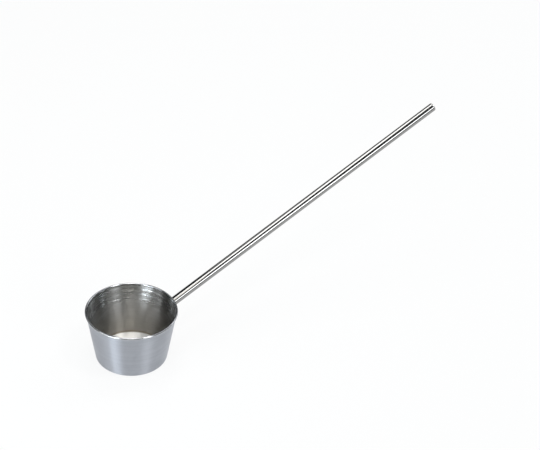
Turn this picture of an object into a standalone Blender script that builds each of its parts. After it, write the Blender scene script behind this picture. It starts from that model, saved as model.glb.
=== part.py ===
"""Tapered ladle: a spun steel cup with a beaded rim, and a straight tube handle welded to its wall.

Metres, +Z up. The origin is the centre of the cup's base, and the handle leaves along +X.
"""

import math

import bmesh
import bpy
from mathutils import Matrix, Vector

for leftover in list(bpy.data.objects):
    bpy.data.objects.remove(leftover)

# Cup, spun from one sheet
MOUTH_DIAMETER = 0.120  # clear inside, at the rim
BASE_DIAMETER = 0.097  # where the line of the outer wall meets the floor
CUP_HEIGHT = 0.076
SHEET = 0.0015
BASE_CORNER_RADIUS = 0.0045  # outside
BEAD_DIAMETER = 0.003

# Handle, a straight tube
TUBE_DIAMETER = 0.012
TUBE_WALL = 0.0005
HANDLE_LENGTH = 0.475  # along the axis, from the cup's wall to the tip
HANDLE_RISE = math.radians(22)

# Fillet weld round the handle's root
WELD_LEG = 0.003
WELD_TOE = 0.0004  # thickness left at the edges of the bead
WELD_CROWN = 0.0005  # swell of its face past a flat fillet
WELD_BELOW_BEAD = 0.001  # bare wall left between the rim's bead and the weld

# Pressed plug in the handle's far end
PLUG_SHEET = 0.0006
PLUG_SKIRT = 0.004
PLUG_LIP = 0.0004  # straight edge of the head, flush with the tube
PLUG_EDGE_RADIUS = 0.001
PLUG_DOME = 0.0006

# Pieces that bear on each other keep this much between them
SEAT_GAP = 0.0003

# Facets
CUP_SIDES = 96
HANDLE_SIDES = 48
CORNER_STEPS = 7
BEAD_STEPS = 16
PLUG_STEPS = 5
WELD_STEPS = 5
MERGE_DISTANCE = 1e-6
CREASE_ANGLE = math.radians(35)

mouth_radius = MOUTH_DIAMETER / 2
base_radius = BASE_DIAMETER / 2
tube_radius = TUBE_DIAMETER / 2
bore_radius = tube_radius - TUBE_WALL

# The wall's lean from upright, at which the sheet just fills the space between mouth and base lines
flare = mouth_radius - base_radius
wall_taper = math.atan2(flare, CUP_HEIGHT) + math.asin(SHEET / math.hypot(flare, CUP_HEIGHT))

# The handle's axis starts on the cup's outer wall, low enough for the weld to clear the bead
weld_radius = tube_radius + SEAT_GAP + WELD_LEG
weld_reach = weld_radius * math.cos(wall_taper) / math.cos(wall_taper + HANDLE_RISE)
joint_height = CUP_HEIGHT - BEAD_DIAMETER - WELD_BELOW_BEAD - weld_reach
joint_radius = base_radius + joint_height * math.tan(wall_taper)
joint_point = Vector((joint_radius, 0, joint_height))
handle_turn = Matrix.Rotation(math.pi / 2 - HANDLE_RISE, 3, "Y")

# Where the plug's head rests on the tube's far end
plug_seat = HANDLE_LENGTH - PLUG_DOME - PLUG_EDGE_RADIUS - PLUG_LIP


def steel(name, color, roughness):
    """A bare steel finish."""
    material = bpy.data.materials.new(name)
    material.use_nodes = True
    shader = material.node_tree.nodes["Principled BSDF"]
    shader.inputs["Base Color"].default_value = (*color, 1)
    shader.inputs["Metallic"].default_value = 1
    shader.inputs["Roughness"].default_value = roughness
    return material


def finish(name, mesh_builder, material, parent=None):
    """Turns the built shape into a smooth-shaded object that hangs on its parent."""
    bmesh.ops.remove_doubles(mesh_builder, verts=mesh_builder.verts, dist=MERGE_DISTANCE)
    bmesh.ops.recalc_face_normals(mesh_builder, faces=mesh_builder.faces)
    mesh = bpy.data.meshes.new(name)
    mesh_builder.to_mesh(mesh)
    mesh_builder.free()
    mesh.shade_smooth()
    mesh.set_sharp_from_angle(angle=CREASE_ANGLE)
    mesh.materials.append(material)
    piece = bpy.data.objects.new(name, mesh)
    bpy.context.scene.collection.objects.link(piece)
    piece.parent = parent
    return piece


def arc(center, radius, start, stop, steps):
    """Points on a round stretch of a profile, as (radius, height), from one angle to another."""
    points = []
    for step in range(steps + 1):
        angle = start + (stop - start) * step / steps
        points.append((center[0] + radius * math.cos(angle), center[1] + radius * math.sin(angle)))
    return points


def turned(profile, sides):
    """A solid of revolution about Z. The profile starts and ends on the axis."""
    builder = bmesh.new()
    verts = [builder.verts.new((radius, 0, height)) for radius, height in profile]
    edges = [builder.edges.new(pair) for pair in zip(verts, verts[1:])]
    bmesh.ops.spin(
        builder,
        geom=verts + edges,
        cent=(0, 0, 0),
        axis=(0, 0, 1),
        angle=2 * math.pi,
        steps=sides,
        use_merge=True,
    )
    return builder


def ring_solid(loops):
    """A closed ring through loops of equal count, each joined to the next and the last to the first."""
    builder = bmesh.new()
    rows = [[builder.verts.new(point) for point in loop] for loop in loops]
    count = len(rows[0])
    for row, after in zip(rows, rows[1:] + rows[:1]):
        for index in range(count):
            following = (index + 1) % count
            builder.faces.new((row[index], row[following], after[following], after[index]))
    return builder


def wall_distance(radius, angle, standoff):
    """How far along the handle a line at this radius and angle round it is this far off the cup's wall."""
    start = joint_point + handle_turn @ Vector((radius * math.cos(angle), radius * math.sin(angle), 0))
    along = handle_turn @ Vector((0, 0, 1))
    slope = math.tan(wall_taper)
    reach = base_radius + standoff / math.cos(wall_taper) + slope * start.z
    # The line meets the cone where x^2 + y^2 equals (reach + slope * rise)^2
    a = along.x**2 - (slope * along.z) ** 2
    b = start.x * along.x - slope * along.z * reach
    c = start.x**2 + start.y**2 - reach**2
    return (math.sqrt(b * b - a * c) - b) / a


def handle_loop(radius, height):
    """Points round the handle's axis. The height is a number, or a function of the angle round it."""
    points = []
    for side in range(HANDLE_SIDES):
        angle = 2 * math.pi * side / HANDLE_SIDES
        along = height(angle) if callable(height) else height
        points.append((radius * math.cos(angle), radius * math.sin(angle), along))
    return points


def make_cup():
    """Floor, rounded base corner and tapered wall of one sheet, with the rim rolled out into a bead."""
    corner = (
        base_radius - BASE_CORNER_RADIUS * (1 - math.sin(wall_taper)) / math.cos(wall_taper),
        BASE_CORNER_RADIUS,
    )
    inner_corner = arc(corner, BASE_CORNER_RADIUS - SHEET, -math.pi / 2, -wall_taper, CORNER_STEPS)
    outer_corner = arc(corner, BASE_CORNER_RADIUS, -wall_taper, -math.pi / 2, CORNER_STEPS)

    # The bead's circle touches the inner wall, goes over the top and comes back to the outer wall
    bead_radius = BEAD_DIAMETER / 2
    bead_center = (
        mouth_radius + bead_radius * (1 - math.sin(wall_taper)) / math.cos(wall_taper),
        CUP_HEIGHT - bead_radius,
    )
    return_angle = math.acos((SHEET - bead_radius) / bead_radius)
    bead = arc(
        bead_center,
        bead_radius,
        math.pi - wall_taper,
        -wall_taper - return_angle,
        BEAD_STEPS,
    )
    profile = [(0, SHEET), *inner_corner, *bead, *outer_corner, (0, 0)]
    cup_steel = steel("brushed cup steel", (0.60, 0.60, 0.59), 0.32)
    return finish("cup", turned(profile, CUP_SIDES), cup_steel)


def make_handle_tube(axis):
    """Round tube with its lower end saddle-cut to the wall and its upper end cut square for the plug."""
    square_end = plug_seat - SEAT_GAP
    loops = [
        handle_loop(tube_radius, lambda angle: wall_distance(tube_radius, angle, SEAT_GAP)),
        handle_loop(tube_radius, square_end),
        handle_loop(bore_radius, square_end),
        handle_loop(bore_radius, lambda angle: wall_distance(bore_radius, angle, SEAT_GAP)),
    ]
    tube_steel = steel("polished tube steel", (0.66, 0.66, 0.65), 0.16)
    return finish("handle_tube", ring_solid(loops), tube_steel, axis)


def make_handle_weld(axis):
    """Fillet weld in the corner between tube and wall, swelling from toe to toe all the way round."""
    root_radius = tube_radius + SEAT_GAP
    loops = [
        handle_loop(root_radius, lambda angle: wall_distance(root_radius, angle, SEAT_GAP)),
        handle_loop(weld_radius, lambda angle: wall_distance(weld_radius, angle, SEAT_GAP)),
    ]
    for step in range(WELD_STEPS + 1):
        share = step / WELD_STEPS
        swell = WELD_CROWN * math.sin(math.pi * share)
        face_radius = root_radius + WELD_TOE * share + WELD_LEG * (1 - share) + swell
        rise = WELD_TOE * (1 - share) + WELD_LEG * share + swell

        def face(angle, radius=face_radius, above=rise):
            return wall_distance(radius, angle, SEAT_GAP) + above

        loops.append(handle_loop(face_radius, face))
    loops.append(
        handle_loop(root_radius, lambda angle: wall_distance(root_radius, angle, SEAT_GAP) + WELD_LEG)
    )
    weld_steel = steel("weld steel", (0.55, 0.54, 0.52), 0.38)
    return finish("handle_weld", ring_solid(loops), weld_steel, axis)


def make_handle_end_plug(axis):
    """Pressed cap: a domed head flush with the tube, and a skirt that fits inside the bore."""
    dome_foot = tube_radius - PLUG_EDGE_RADIUS
    edge_center = (dome_foot, plug_seat + PLUG_LIP)
    dome_radius = (dome_foot**2 + PLUG_DOME**2) / (2 * PLUG_DOME)
    dome_center = (0, HANDLE_LENGTH - dome_radius)
    dome_sweep = math.asin(dome_foot / dome_radius)
    skirt_radius = bore_radius - SEAT_GAP
    ceiling = HANDLE_LENGTH - PLUG_DOME - PLUG_SHEET
    profile = [
        *arc(dome_center, dome_radius, math.pi / 2, math.pi / 2 - dome_sweep, PLUG_STEPS),
        *arc(edge_center, PLUG_EDGE_RADIUS, math.pi / 2, 0, PLUG_STEPS)[1:],
        (tube_radius, plug_seat),
        (skirt_radius, plug_seat),
        (skirt_radius, plug_seat - PLUG_SKIRT),
        (skirt_radius - PLUG_SHEET, plug_seat - PLUG_SKIRT),
        (skirt_radius - PLUG_SHEET, ceiling),
        (0, ceiling),
    ]
    plug_steel = steel("polished plug steel", (0.64, 0.64, 0.63), 0.2)
    return finish("handle_end_plug", turned(profile, HANDLE_SIDES), plug_steel, axis)


handle_axis = bpy.data.objects.new("handle_axis", None)
handle_axis.location = joint_point
handle_axis.rotation_euler = handle_turn.to_euler()
bpy.context.scene.collection.objects.link(handle_axis)

make_cup()
make_handle_tube(handle_axis)
make_handle_weld(handle_axis)
make_handle_end_plug(handle_axis)
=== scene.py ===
import math

import bmesh
import bpy
from mathutils import Matrix, Quaternion, Vector


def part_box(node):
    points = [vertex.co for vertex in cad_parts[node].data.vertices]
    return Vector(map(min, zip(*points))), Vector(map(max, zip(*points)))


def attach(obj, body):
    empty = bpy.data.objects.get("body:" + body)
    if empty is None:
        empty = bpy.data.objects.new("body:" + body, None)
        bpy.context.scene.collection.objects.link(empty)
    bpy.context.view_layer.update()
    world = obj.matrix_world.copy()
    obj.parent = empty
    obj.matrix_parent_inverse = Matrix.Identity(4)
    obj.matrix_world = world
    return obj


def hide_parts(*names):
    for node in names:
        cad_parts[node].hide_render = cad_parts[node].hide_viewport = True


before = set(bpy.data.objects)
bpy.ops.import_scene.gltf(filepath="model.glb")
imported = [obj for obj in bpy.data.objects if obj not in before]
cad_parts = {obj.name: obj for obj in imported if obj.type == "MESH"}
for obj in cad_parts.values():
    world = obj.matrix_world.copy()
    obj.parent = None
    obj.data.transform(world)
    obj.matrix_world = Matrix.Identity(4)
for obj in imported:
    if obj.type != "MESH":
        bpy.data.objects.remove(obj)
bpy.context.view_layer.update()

scene = bpy.context.scene
scene.view_settings.view_transform = "Standard"

# Camera: a long lens almost three metres off, above the ladle and on the left of its handle.
# It looks at the middle of the ladle, and is rolled a little.
camera_direction = math.radians(-30.962)
camera_height_angle = math.radians(38.750)
camera_distance = 2.806
camera_aim = Vector((0.2235, 0, 0.1345))
camera_roll = math.radians(2.5)
camera_data = bpy.data.cameras.new("photo_camera")
camera_data.sensor_width = 36
camera_data.lens = 136.16
camera = bpy.data.objects.new("photo_camera", camera_data)
camera.location = camera_distance * Vector((
    math.sin(camera_direction) * math.cos(camera_height_angle),
    -math.cos(camera_direction) * math.cos(camera_height_angle),
    math.sin(camera_height_angle),
))
camera.rotation_mode = "QUATERNION"
facing = (camera_aim - camera.location).to_track_quat("-Z", "Y")
camera.rotation_quaternion = facing @ Quaternion((0, 0, 1), camera_roll)
scene.collection.objects.link(camera)
scene.camera = camera

# Cup: one sheet of steel spun into a tapered bowl, with a rounded corner at its base and its edge
# rolled outwards into a bead. The spinning tool leaves rings of fine lines, and shallow ripples
# towards the rim.
cup_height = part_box("cup")[1].z
mouth_radius = 0.060
base_radius = 0.0485
sheet = 0.0015
corner_radius = 0.0045
bead_radius = 0.0015
flare = mouth_radius - base_radius
wall_taper = math.atan2(flare, cup_height) + math.asin(sheet / math.hypot(flare, cup_height))

# How finely it is divided, round the cup and along each stretch of its profile
cup_sides = 192
floor_rows = 30
inner_corner_rows = 12
inner_wall_rows = 150
bead_rows = 28
outer_wall_rows = 90
outer_corner_rows = 14
base_rows = 16


class Wire:
    """A socket of a node tree. Arithmetic on it adds Math nodes, and node() adds any other node."""

    def __init__(self, tree, socket=None):
        self.tree = tree
        self.socket = socket

    def node(self, kind, settings=None, sockets=None, output=0):
        """Adds a node, sets it up, then fills its sockets with values or wires. Gives one output."""
        added = self.tree.nodes.new(kind)
        for name, value in (settings or {}).items():
            setattr(added, name, value)
        for name, value in (sockets or {}).items():
            if isinstance(value, Wire):
                self.tree.links.new(value.socket, added.inputs[name])
            else:
                added.inputs[name].default_value = value
        return Wire(self.tree, added.outputs[output] if len(added.outputs) else None)

    def other(self, output):
        """Another output of the node that this wire comes from."""
        return Wire(self.tree, self.socket.node.outputs[output])

    def math(self, operation, first, second=0.0):
        """A Math node on one or two values."""
        return self.node("ShaderNodeMath", {"operation": operation}, {0: first, 1: second})

    def ramp(self, start, stop):
        """0 below start and 1 above stop, with a soft change between them."""
        return self.node(
            "ShaderNodeMapRange",
            {"interpolation_type": "SMOOTHSTEP"},
            {"Value": self, "From Min": start, "From Max": stop},
        )

    def parts(self):
        """The X, Y and Z of a place."""
        split = self.node("ShaderNodeSeparateXYZ", None, {"Vector": self})
        return split, split.other("Y"), split.other("Z")

    def place(self, x, y, z):
        """A place that has these for its X, Y and Z."""
        return self.node("ShaderNodeCombineXYZ", None, {"X": x, "Y": y, "Z": z})

    def noise(self, scale, detail, roughness=0.5, distortion=0.0):
        """Noise at the place that this wire gives."""
        return self.node("ShaderNodeTexNoise", None, {
            "Vector": self,
            "Scale": scale,
            "Detail": detail,
            "Roughness": roughness,
            "Distortion": distortion,
        })

    def mix(self, first, second):
        """The first colour where this wire is 0, and the second where it is 1."""
        return self.node(
            "ShaderNodeMix", {"data_type": "RGBA"}, {"Factor": self, 6: first, 7: second}, output=2
        )

    def bump(self, depth):
        """The normal of a surface that stands out by this depth where the wire is 1."""
        return self.node(
            "ShaderNodeBump", None, {"Strength": 1.0, "Distance": depth, "Height": self}, output="Normal"
        )

    def __add__(self, other):
        return self.math("ADD", self, other)

    def __sub__(self, other):
        return self.math("SUBTRACT", self, other)

    def __mul__(self, other):
        return self.math("MULTIPLY", self, other)

    def __truediv__(self, other):
        return self.math("DIVIDE", self, other)

    def __pow__(self, other):
        return self.math("POWER", self, other)

    def __mod__(self, other):
        return self.math("FLOORED_MODULO", self, other)

    def __radd__(self, other):
        return self.math("ADD", other, self)

    def __rsub__(self, other):
        return self.math("SUBTRACT", other, self)

    def __rmul__(self, other):
        return self.math("MULTIPLY", other, self)


def bare_material(name):
    """A material with an empty tree, and a wire to start that tree from."""
    material = bpy.data.materials.new(name)
    material.use_nodes = True
    material.node_tree.nodes.clear()
    return material, Wire(material.node_tree)


def close_steel(start, sockets):
    """Puts the steel's shader on the end of a material's tree."""
    shader = start.node("ShaderNodeBsdfPrincipled", None, {"Metallic": 1.0, **sockets})
    start.node("ShaderNodeOutputMaterial", None, {"Surface": shader})


def open_rule(name, result, inputs):
    """Starts a tree of geometry nodes with named inputs, and gives the wire of the first of them."""
    tree = bpy.data.node_groups.new(name, "GeometryNodeTree")
    for label, kind in inputs.items():
        tree.interface.new_socket(label, in_out="INPUT", socket_type=kind)
    tree.interface.new_socket(result, in_out="OUTPUT", socket_type="NodeSocketGeometry")
    return Wire(tree).node("NodeGroupInput")


def carried(start, attribute):
    """The value that the points of a mesh carry under this name."""
    return start.node(
        "GeometryNodeInputNamedAttribute", {"data_type": "FLOAT"}, {"Name": attribute}, output="Attribute"
    )


def pushed(shape, lift):
    """A shape with every point moved out along its normal."""
    push = shape.node(
        "ShaderNodeVectorMath",
        {"operation": "SCALE"},
        {0: shape.node("GeometryNodeInputNormal"), "Scale": lift},
    )
    return shape.node("GeometryNodeSetPosition", None, {"Geometry": shape, "Offset": push})


def close_rule(shape, result, material):
    """Ends a tree of geometry nodes: a smooth shape that is all real mesh, in its material."""
    shape = shape.node("GeometryNodeSetShadeSmooth", None, {"Geometry": shape, "Shade Smooth": True})
    shape = shape.node("GeometryNodeRealizeInstances", None, {"Geometry": shape})
    shape = shape.node("GeometryNodeSetMaterial", None, {"Geometry": shape, "Material": material})
    shape.node("NodeGroupOutput", None, {result: shape})


def grown(name, mesh, tree, sizes):
    """Runs a tree of geometry nodes on a mesh once, and keeps what it makes as a plain mesh."""
    piece = bpy.data.objects.new(name, mesh)
    scene.collection.objects.link(piece)
    modifier = piece.modifiers.new(tree.name, "NODES")
    modifier.node_group = tree
    for item in tree.interface.items_tree:
        if item.in_out == "INPUT" and item.name in sizes:
            modifier[item.identifier] = sizes[item.name]
    graph = bpy.context.evaluated_depsgraph_get()
    made = bpy.data.meshes.new_from_object(
        piece.evaluated_get(graph), preserve_all_data_layers=True, depsgraph=graph
    )
    if made.materials[0] is None:
        made.materials.pop(index=0)
    piece.modifiers.remove(modifier)
    piece.data = made
    made.name = name
    return piece


def arc(center, radius, start, stop, steps):
    """Points on a round stretch of a profile, as (radius, height), from one angle to another."""
    angles = [start + (stop - start) * step / steps for step in range(steps + 1)]
    return [(center[0] + radius * math.cos(a), center[1] + radius * math.sin(a)) for a in angles]


def straight(first, last, steps):
    """Points on a straight stretch of a profile, without its two ends."""
    shares = [step / steps for step in range(1, steps)]
    return [tuple(p + (q - p) * share for p, q in zip(first, last)) for share in shares]


# The middle of a circle that touches the wall and a level line is this many radii from where they meet
set_in = (1 - math.sin(wall_taper)) / math.cos(wall_taper)
corner = (base_radius - corner_radius * set_in, corner_radius)
bead_center = (mouth_radius + bead_radius * set_in, cup_height - bead_radius)
bead_return = -wall_taper - math.acos((sheet - bead_radius) / bead_radius)
inner_corner = arc(corner, corner_radius - sheet, -math.pi / 2, -wall_taper, inner_corner_rows)
outer_corner = arc(corner, corner_radius, -wall_taper, -math.pi / 2, outer_corner_rows)
bead = arc(bead_center, bead_radius, math.pi - wall_taper, bead_return, bead_rows)
floor_middle = (0, sheet)
base_middle = (0, 0)
# Each stretch of the profile comes with how strongly the spinning tool has rippled it in its lower and
# upper part, and whether it is inside the cup. The ripples fade out just below the bead.
stretches = [
    ([floor_middle, *straight(floor_middle, inner_corner[0], floor_rows)], 0.1, 0.1, 1.0),
    (inner_corner, 0.1, 0.1, 1.0),
    (straight(inner_corner[-1], bead[0], inner_wall_rows), 0.4, 1.0, 1.0),
    (bead, 0.0, 0.0, 0.5),
    (straight(bead[-1], outer_corner[0], outer_wall_rows), 0.1, 0.25, 0.0),
    (outer_corner, 0.1, 0.0, 0.0),
    ([*straight(outer_corner[-1], base_middle, base_rows), base_middle], 0.0, 0.0, 0.0),
]
ripple_fade = 0.004
profile = []
rippled = []
inside = []
for points, low_ripple, high_ripple, is_inside in stretches:
    profile += points
    inside += [is_inside] * len(points)
    for _, height in points:
        share = height / cup_height
        fade = min(1.0, max(0.0, (cup_height - 2 * bead_radius - height) / ripple_fade))
        rippled.append((low_ripple + (high_ripple - low_ripple) * share**2) * fade)
along_sheet = [0.0]
for before, after in zip(profile, profile[1:]):
    along_sheet.append(along_sheet[-1] + math.dist(before, after))
cup_profile = bpy.data.meshes.new("cup_profile")
cup_profile.from_pydata(
    [(out, 0, height) for out, height in profile],
    [(index, index + 1) for index in range(len(profile) - 1)],
    [],
)
on_sheet = {"along_sheet": along_sheet, "rippled": rippled, "inside": inside}
for attribute, values in on_sheet.items():
    cup_profile.attributes.new(attribute, "FLOAT", "POINT").data.foreach_set("value", values)

# The cup's steel: satin, with lines round the cup where the tool and the abrasive ran. Its floor is set
# to a far brighter steel than the walls, a painted highlight. The corner round the floor and the lower
# inside wall are darkened towards brown, a painted shade, and the lower wall is also rougher.
outside_bright = (0.450, 0.474, 0.518, 1)
outside_worn = (0.395, 0.416, 0.459, 1)
inside_bright = (0.558, 0.563, 0.560, 1)
inside_worn = (0.498, 0.503, 0.500, 1)
# Painted highlight: a far brighter steel for the cup's floor than for its walls
floor_painted_highlight = (0.93, 0.925, 0.905, 1)
# Painted shade: a dark brown for the corner round the floor and the lower inside wall
corner_painted_shade = (0.19, 0.145, 0.08, 1)
lines_across = 420  # noise cells to the metre, across the lines and along them
lines_along = 6
scratches_along = 130
line_depth = 0.00002
# Heights between which one finish, or the painted shade, passes into the next
bead_edge = (cup_height - 0.0034, cup_height - 0.0024)
floor_edge = (0.0018, 0.0028)
corner_edge = (0.0042, 0.0065)
rough_and_shade_reach = (0.002, 0.060)
cup_steel, start = bare_material("satin_spun_steel")
surface = start.node("ShaderNodeTexCoord", output="Object")
x, y, z = surface.parts()
from_axis = (x * x + y * y) ** 0.5
ring_place = start.place(x * lines_along, y * lines_along, (z + from_axis) * lines_across)
ring_lines = ring_place.noise(1.0, 6.0, roughness=0.62)
smudges = surface.noise(55.0, 3.0, roughness=0.55, distortion=0.6)
scratch_place = start.place(x * scratches_along, y * scratches_along, z * lines_across)
scratches = scratch_place.noise(3.0, 5.0, roughness=0.7, distortion=1.5)
polished = z.ramp(*bead_edge)
inside_cup = start.node("ShaderNodeAttribute", {"attribute_name": "inside"}, output="Fac")
smudged = 0.45 * smudges.ramp(0.35, 0.7) + 0.55 * ring_lines.ramp(0.3, 0.7)
outer_color = smudged.mix(outside_bright, outside_worn)
inner_color = smudged.mix(inside_bright, inside_worn)
on_floor = inside_cup * (1 - z.ramp(*floor_edge))
# Where the painted shade falls: the corner round the floor, and the lower inside wall, which is also
# rougher
corner_shade_mask = inside_cup * z.ramp(*floor_edge) * (1 - z.ramp(*corner_edge))
deep = inside_cup * (1 - z.ramp(*rough_and_shade_reach)) * (1 - on_floor)
# Painted shade: the corner and the lower inside wall are darkened towards brown
painted_shade = start.math("MAXIMUM", corner_shade_mask * (0.5 + 0.4 * smudges), deep * 0.46)
wall_color = inside_cup.mix(outer_color, inner_color)
# Painted highlight: the floor takes the far brighter steel, varied by the ring lines
sheet_color = (on_floor * (0.7 + 0.3 * ring_lines)).mix(wall_color, floor_painted_highlight)
worn = 0.08 * ring_lines + 0.05 * smudges
sheet_roughness = 0.285 - 0.075 * inside_cup + 0.12 * deep + 0.24 * on_floor + worn
close_steel(start, {
    "Base Color": painted_shade.mix(sheet_color, corner_painted_shade),
    "Roughness": sheet_roughness * (1 - polished * 0.3),
    "Normal": ((ring_lines + scratches * 0.12) * (1 - polished * 0.8)).bump(line_depth),
    "Anisotropic": 0.95,
    "Anisotropic Rotation": 0.25,
})

# The rule of its shape: the profile goes once round, and the tool's path ripples the sheet
ripples_around = 9  # noise cells to the metre, along the tool's path
pole_merge = 1e-6
given = open_rule("spinning", "Cup", {
    "Profile": "NodeSocketGeometry",
    "Sides": "NodeSocketInt",
    "Ripple height": "NodeSocketFloat",
    "Ripple pitch": "NodeSocketFloat",
    "Seed": "NodeSocketFloat",
})
sides = given.other("Sides")
rows = given.node(
    "GeometryNodeAttributeDomainSize", {"component": "MESH"}, {"Geometry": given}, output="Point Count"
)
grid = given.node(
    "GeometryNodeMeshGrid", None, {"Vertices X": sides + 1, "Vertices Y": rows}, output="Mesh"
)
index = given.node("GeometryNodeInputIndex")
row = index % rows
column = given.math("FLOOR", (index + 0.5) / rows)
spot = given.node(
    "GeometryNodeSampleIndex",
    {"data_type": "FLOAT_VECTOR", "domain": "POINT"},
    {"Geometry": given, "Value": given.node("GeometryNodeInputPosition"), "Index": row},
)
out, _, up = spot.parts()
turn = column / sides * (-2 * math.pi)
turned = given.place(out * given.math("COSINE", turn), out * given.math("SINE", turn), up)
shape = given.node("GeometryNodeSetPosition", None, {"Geometry": grid, "Position": turned})
for attribute in on_sheet:
    value = given.node(
        "GeometryNodeSampleIndex",
        {"data_type": "FLOAT", "domain": "POINT"},
        {"Geometry": given, "Value": carried(given, attribute), "Index": row},
    )
    shape = given.node(
        "GeometryNodeStoreNamedAttribute",
        {"data_type": "FLOAT", "domain": "POINT"},
        {"Geometry": shape, "Name": attribute, "Value": value},
    )
shape = given.node("GeometryNodeMergeByDistance", None, {"Geometry": shape, "Distance": pole_merge})
x, y, _ = given.node("GeometryNodeInputPosition").parts()
wave_place = given.place(
    x * ripples_around + given.other("Seed"),
    y * ripples_around,
    carried(given, "along_sheet") / given.other("Ripple pitch"),
)
wave = wave_place.noise(1.0, 1.5)
lift = (wave - 0.5) * carried(given, "rippled") * given.other("Ripple height")
close_rule(pushed(shape, lift), "Cup", cup_steel)
cup = grown("spun_cup", cup_profile, given.tree, {
    "Sides": cup_sides,
    "Ripple height": 0.00125,
    "Ripple pitch": 0.0044,
    "Seed": 3.0,
})
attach(cup, "root")
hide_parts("cup")

# Handle tube: a straight thin-walled steel tube, its lower end cut to a saddle that sits on the cup's
# wall and its upper end cut square. It is polished along its whole length.
tube_radius = 0.006
bore_radius = 0.0055
handle_length = 0.475
handle_rise = math.radians(22)
tube_sides = 96
tube_rings = 40
tube_first_ring = 0.012  # along the axis, clear of the saddle
tube_break = (0.0001, 0.0002)  # its far edge is taken off by this much, inwards and along
tube_crease = math.radians(20)
seam = 0.00006  # open line between the tube and the plug's head

# The plug's head rests on the tube's far end
plug_lip = 0.0004
plug_edge = 0.001
plug_dome = 0.0006
plug_seat = handle_length - plug_dome - plug_edge - plug_lip

# The weld just clears the bead, and that sets the height of the joint on the wall
weld_leg = 0.003
weld_clearance = 0.0003
weld_below_bead = 0.001
weld_height = weld_clearance + weld_leg
weld_radius = tube_radius + weld_height
weld_reach = weld_radius * math.cos(wall_taper) / math.cos(wall_taper + handle_rise)
joint_height = cup_height - 2 * bead_radius - weld_below_bead - weld_reach
joint = Vector((base_radius + joint_height * math.tan(wall_taper), 0, joint_height))
handle_turn = Matrix.Rotation(math.pi / 2 - handle_rise, 3, "Y")


def wall_distance(radius, angle, standoff):
    """How far up the handle a line at this radius and angle round it is this far off the cup's wall."""
    begin = joint + handle_turn @ Vector((radius * math.cos(angle), radius * math.sin(angle), 0))
    along = handle_turn @ Vector((0, 0, 1))
    slope = math.tan(wall_taper)
    reach = base_radius + standoff / math.cos(wall_taper) + slope * begin.z
    # The line meets the cone where x^2 + y^2 equals (reach + slope * rise)^2
    a = along.x**2 - (slope * along.z) ** 2
    b = begin.x * along.x - slope * along.z * reach
    c = begin.x**2 + begin.y**2 - reach**2
    return (math.sqrt(b * b - a * c) - b) / a


def on_handle(radius, angle, along):
    """A point round the handle's axis, in the ladle's frame."""
    return joint + handle_turn @ Vector((radius * math.cos(angle), radius * math.sin(angle), along))


def ring_mesh(name, loops, closed):
    """Smooth skin through loops of equal count. A closed one joins its last loop to its first.

    An open one starts and ends on the axis, where the points of a loop become one.
    """
    count = len(loops[0])
    axis_merge = 1e-7
    faces = []
    for row in range(len(loops) if closed else len(loops) - 1):
        low = row * count
        high = (row + 1) % len(loops) * count
        for step in range(count):
            following = (step + 1) % count
            faces.append((low + step, low + following, high + following, high + step))
    mesh = bpy.data.meshes.new(name)
    mesh.from_pydata([point for loop in loops for point in loop], [], faces)
    if not closed:
        builder = bmesh.new()
        builder.from_mesh(mesh)
        bmesh.ops.remove_doubles(builder, verts=builder.verts, dist=axis_merge)
        builder.to_mesh(mesh)
        builder.free()
    mesh.shade_smooth()
    return mesh


def up_handle(start):
    """Object coordinates turned so that Z runs up the handle from its root."""
    surface = start.node("ShaderNodeTexCoord", output="Object")
    moved = start.node("ShaderNodeVectorMath", {"operation": "SUBTRACT"}, {0: surface, 1: joint})
    return start.node(
        "ShaderNodeMapping", None, {"Vector": moved, "Rotation": handle_turn.inverted().to_euler()}
    )


# The tube's steel: a close polish with faint lines, a little duller where it has been held
tube_bright = (0.335, 0.335, 0.332, 1)
tube_handled = (0.285, 0.285, 0.282, 1)
polish_around = 150  # noise cells to the metre
polish_along = 600
polish_depth = 0.000004
tube_steel, start = bare_material("polished_tube_steel")
surface = up_handle(start)
x, y, z = surface.parts()
polish_place = start.place(x * polish_around, y * polish_around, z * polish_along)
polish_lines = polish_place.noise(1.0, 5.0, roughness=0.65)
handling_marks = surface.noise(45.0, 3.0, roughness=0.6)
close_steel(start, {
    "Base Color": handling_marks.mix(tube_bright, tube_handled),
    "Roughness": 0.02 + 0.05 * polish_lines + 0.04 * handling_marks,
    "Normal": polish_lines.bump(polish_depth),
})

around_tube = [2 * math.pi * side / tube_sides for side in range(tube_sides)]
tube_end = plug_seat - seam
tube_last_ring = tube_end - tube_break[1]
ring_step = (tube_last_ring - tube_first_ring) / tube_rings
tube_profile = [(tube_radius, tube_first_ring + ring_step * ring) for ring in range(tube_rings + 1)]
tube_profile += [(tube_radius - tube_break[0], tube_end), (bore_radius, tube_end)]
tube_loops = [
    [on_handle(radius, angle, wall_distance(radius, angle, 0)) for angle in around_tube]
    for radius in (bore_radius, tube_radius)
]
tube_loops += [
    [on_handle(radius, angle, along) for angle in around_tube] for radius, along in tube_profile
]
tube_mesh = ring_mesh("handle_tube_skin", tube_loops, True)
tube_mesh.set_sharp_from_angle(angle=tube_crease)
tube_mesh.materials.append(tube_steel)
tube = bpy.data.objects.new("polished_handle_tube", tube_mesh)
scene.collection.objects.link(tube)
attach(tube, "root")
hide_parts("handle_tube")

# Weld: a bead of filler run all the way round the tube where it meets the cup's wall. Its face swells
# between the two toes and carries the ripples of the torch's steps.
weld_crown = 0.0005
weld_toe = 0.0001
weld_sink = 0.0002  # its hidden faces lie this deep in the tube and the wall
weld_sides = 408
weld_rows = 18

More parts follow.
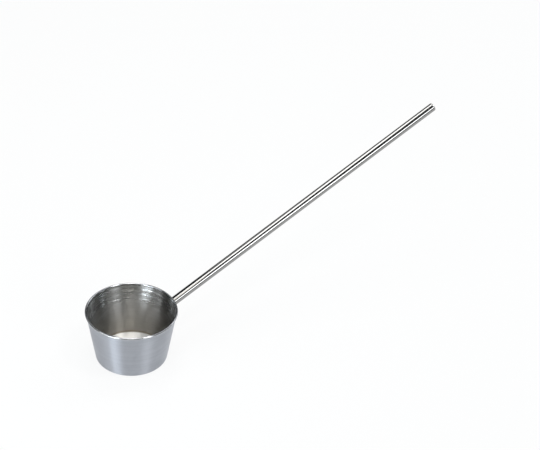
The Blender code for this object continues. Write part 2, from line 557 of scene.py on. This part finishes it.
# The weld's steel: grainy, with a straw tint along its toes
weld_bright = (0.50, 0.495, 0.48, 1)
weld_tint = (0.40, 0.36, 0.30, 1)
grain_depth = 0.00002
weld_steel, start = bare_material("weld_bead_steel")
surface = start.node("ShaderNodeTexCoord", output="Object")
grains = surface.noise(900.0, 4.0, roughness=0.6)
tint_patches = surface.noise(260.0, 2.0)
from_middle = start.node("ShaderNodeAttribute", {"attribute_name": "across"}, output="Fac") - 0.5
near_toe = (from_middle * from_middle * 4).ramp(0.35, 1.0)
close_steel(start, {
    "Base Color": (near_toe * (0.35 + 0.65 * tint_patches)).mix(weld_bright, weld_tint),
    "Roughness": 0.26 + 0.18 * grains + 0.08 * tint_patches,
    "Normal": grains.bump(grain_depth),
})

# The rule of its face: the torch's steps follow each other round the bead, each bowed and falling off
uneven_around = 9  # noise cells to one turn
step_front = 0.18  # share of a step in which it rises
given = open_rule("torch_steps", "Weld", {
    "Bead": "NodeSocketGeometry",
    "Ripples": "NodeSocketFloat",
    "Ripple height": "NodeSocketFloat",
    "Bow": "NodeSocketFloat",
    "Seed": "NodeSocketFloat",
})
around = carried(given, "around")
across = carried(given, "across")
from_middle = across - 0.5
uneven = given.node(
    "ShaderNodeTexNoise",
    {"noise_dimensions": "1D"},
    {"W": around * uneven_around + given.other("Seed"), "Scale": 1.0, "Detail": 1.0},
)
step_phase = (around * given.other("Ripples") + given.other("Bow") * from_middle * from_middle) % 1.0
step_lift = (1 - step_phase) * step_phase.ramp(0.0, step_front) * (0.6 + 0.8 * uneven)
between_toes = given.math("SINE", across * math.pi)
lift = step_lift * between_toes * given.other("Ripple height")
close_rule(pushed(given, lift), "Weld", weld_steel)

# Its section, as radius, distance off the wall, height above that, and place from toe to toe
weld_profile = []
for step in range(weld_rows + 1):
    share = step / weld_rows
    swell = weld_crown * math.sin(math.pi * share)
    face_radius = tube_radius + weld_toe * share + weld_height * (1 - share) + swell
    face_height = weld_toe * (1 - share) + weld_height * share + swell
    weld_profile.append((face_radius, 0, face_height, share))
weld_profile += [
    (tube_radius - weld_sink, 0, weld_height, 1.0),
    (tube_radius - weld_sink, -weld_sink, 0, 0.0),
    (weld_radius, -weld_sink, 0, 0.0),
]
around_weld = [2 * math.pi * side / weld_sides for side in range(weld_sides)]
weld_loops = [
    [on_handle(radius, angle, wall_distance(radius, angle, standoff) + above) for angle in around_weld]
    for radius, standoff, above, _ in weld_profile
]
weld_mesh = ring_mesh("weld_bead_skin", weld_loops, True)
on_weld = {
    "across": [share for _, _, _, share in weld_profile for _ in around_weld],
    "around": [angle / (2 * math.pi) for angle in around_weld] * len(weld_profile),
}
for attribute, values in on_weld.items():
    weld_mesh.attributes.new(attribute, "FLOAT", "POINT").data.foreach_set("value", values)
weld = grown("weld_bead", weld_mesh, given.tree, {
    "Ripples": 34.0,
    "Ripple height": 0.00022,
    "Bow": 1.6,
    "Seed": 5.0,
})
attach(weld, "root")
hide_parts("handle_weld")

# End plug: a small pressed cap of the same steel. Its domed head lies flush with the tube, and its
# skirt grips inside the bore.
plug_sheet = 0.0006
plug_skirt = 0.004
plug_break = 0.0001  # taken off the head's edge at the seam
skirt_fit = 0.00005  # room between the skirt and the bore
plug_rows = 10
plug_crease = math.radians(30)
skirt_radius = bore_radius - skirt_fit
plug_ceiling = handle_length - plug_dome - plug_sheet
dome_foot = tube_radius - plug_edge
dome_radius = (dome_foot**2 + plug_dome**2) / (2 * plug_dome)
dome_center = (0, handle_length - dome_radius)
dome_stop = math.pi / 2 - math.asin(dome_foot / dome_radius)
edge_center = (dome_foot, plug_seat + plug_lip)

plug_bright = (0.52, 0.52, 0.51, 1)
plug_worn = (0.45, 0.45, 0.44, 1)
plug_mark_depth = 0.00001
plug_steel, start = bare_material("polished_plug_steel")
plug_marks = up_handle(start).noise(700.0, 4.0, roughness=0.6)
close_steel(start, {
    "Base Color": plug_marks.mix(plug_bright, plug_worn),
    "Roughness": 0.16 + 0.12 * plug_marks,
    "Normal": plug_marks.bump(plug_mark_depth),
})
plug_profile = [
    *arc(dome_center, dome_radius, math.pi / 2, dome_stop, plug_rows),
    *arc(edge_center, plug_edge, math.pi / 2, 0, plug_rows)[1:],
    (tube_radius, plug_seat + plug_break),
    (tube_radius - plug_break, plug_seat),
    (skirt_radius, plug_seat),
    (skirt_radius, plug_seat - plug_skirt),
    (skirt_radius - plug_sheet, plug_seat - plug_skirt),
    (skirt_radius - plug_sheet, plug_ceiling),
    (0, plug_ceiling),
]
plug_loops = [
    [on_handle(radius, -angle, along) for angle in around_tube] for radius, along in plug_profile
]
plug_mesh = ring_mesh("plug_skin", plug_loops, False)
plug_mesh.set_sharp_from_angle(angle=plug_crease)
plug_mesh.materials.append(plug_steel)
plug = bpy.data.objects.new("pressed_end_plug", plug_mesh)
scene.collection.objects.link(plug)
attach(plug, "root")
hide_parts("handle_end_plug")

# Floor and light: a broad sheet of white paper under plain soft studio light. The lights above, on the
# left and in front put the bright bands on the steel, and the dimmer ones fill in its other sides.
floor_reach = 6
floor_height = -0.0002
floor_corners = [(-1, -1), (1, -1), (1, 1), (-1, 1)]
floor_mesh = bpy.data.meshes.new("floor")
floor_mesh.from_pydata(
    [(floor_reach * right, floor_reach * back, floor_height) for right, back in floor_corners],
    [],
    [(0, 1, 2, 3)],
)
paper_shade = (0.89, 0.90, 0.915, 1)
paper_light = (0.90, 0.91, 0.925, 1)
paper_glow = (0.995, 1.0, 1.0, 1)
glow_share = 0.9  # the rest shows the shadows
floor_paper, start = bare_material("pale_paper")
fibres = start.node("ShaderNodeTexCoord", output="Object").noise(900.0, 2.0)
paper = start.node(
    "ShaderNodeBsdfPrincipled",
    None,
    {"Base Color": fibres.mix(paper_shade, paper_light), "Roughness": 0.9},
)
glow = start.node("ShaderNodeEmission", None, {"Color": paper_glow, "Strength": 1.0})
ray = start.node("ShaderNodeLightPath", output="Is Camera Ray")
seen = ray + ray.other("Is Glossy Ray") + ray.other("Is Transmission Ray")
white_paper = start.node("ShaderNodeMixShader", None, {0: seen * glow_share, 1: paper, 2: glow})
start.node("ShaderNodeOutputMaterial", None, {"Surface": white_paper})
floor_mesh.materials.append(floor_paper)
floor = bpy.data.objects.new("floor", floor_mesh)
scene.collection.objects.link(floor)

lamp_power = 4  # watts from a square metre at a brightness of 1
warm_white = (1.0, 0.99, 0.97)
cool_white = (0.97, 0.985, 1.0)
amber_white = (1.0, 0.96, 0.88)
blue_white = (0.88, 0.945, 1.0)
room_dark = (0.065, 0.067, 0.070, 1)
on_cup = (0, 0, 0.05)
on_handle_foot = (0.20, 0, 0.1)


def soft_light(name, location, aim, width, height, brightness, color, spin=0):
    """A flat soft light of even brightness, facing a point and spun about its middle."""
    data = bpy.data.lights.new(name, "AREA")
    data.shape = "RECTANGLE"
    data.size = width
    data.size_y = height
    data.energy = brightness * width * height * lamp_power
    data.color = color
    lamp = bpy.data.objects.new(name, data)
    lamp.location = location
    lamp.rotation_mode = "QUATERNION"
    facing = (Vector(aim) - Vector(location)).to_track_quat("-Z", "Y")
    lamp.rotation_quaternion = facing @ Quaternion((0, 0, 1), math.radians(spin))
    scene.collection.objects.link(lamp)


soft_light("overhead", (0.131, 0.305, 1.65), (0.131, 0.305, 0), 1.27, 0.60, 3.36, warm_white, 45)
soft_light("over_cup", (-0.31, -0.64, 1.62), (-0.31, -0.64, 0), 0.28, 0.54, 2.4, amber_white)
soft_light("front_corner", (0.965, -1.67, 4.0), on_cup, 0.75, 1.00, 15.5, warm_white)
soft_light("left_panel", (-1.18, -0.41, 0.295), on_cup, 0.614, 0.33, 10.4, blue_white, 35)
soft_light("front_panel", (1.20, -8.22, 3.72), on_handle_foot, 2.90, 3.00, 4.6, cool_white, -16)
soft_light("left_fill", (-2.03, 0.32, 1.29), on_cup, 0.93, 1.15, 2.0, cool_white)
soft_light("left_high", (-5.23, 0.0, 5.95), (0.28, 0, 0.15), 4.30, 1.96, 1.1, cool_white)
soft_light("back_fill", (2.30, 0.20, 1.20), on_cup, 1.20, 1.30, 1.0, cool_white)
soft_light("right_fill", (1.74, 0.18, 2.05), on_handle_foot, 1.10, 1.60, 1.3, cool_white)
soft_light("behind", (0.60, 1.38, 1.71), (0.10, 0, 0.08), 1.38, 0.62, 0.8, warm_white)
world = bpy.data.worlds.new("studio")
world.use_nodes = True
world.node_tree.nodes["Background"].inputs["Color"].default_value = room_dark
scene.world = world
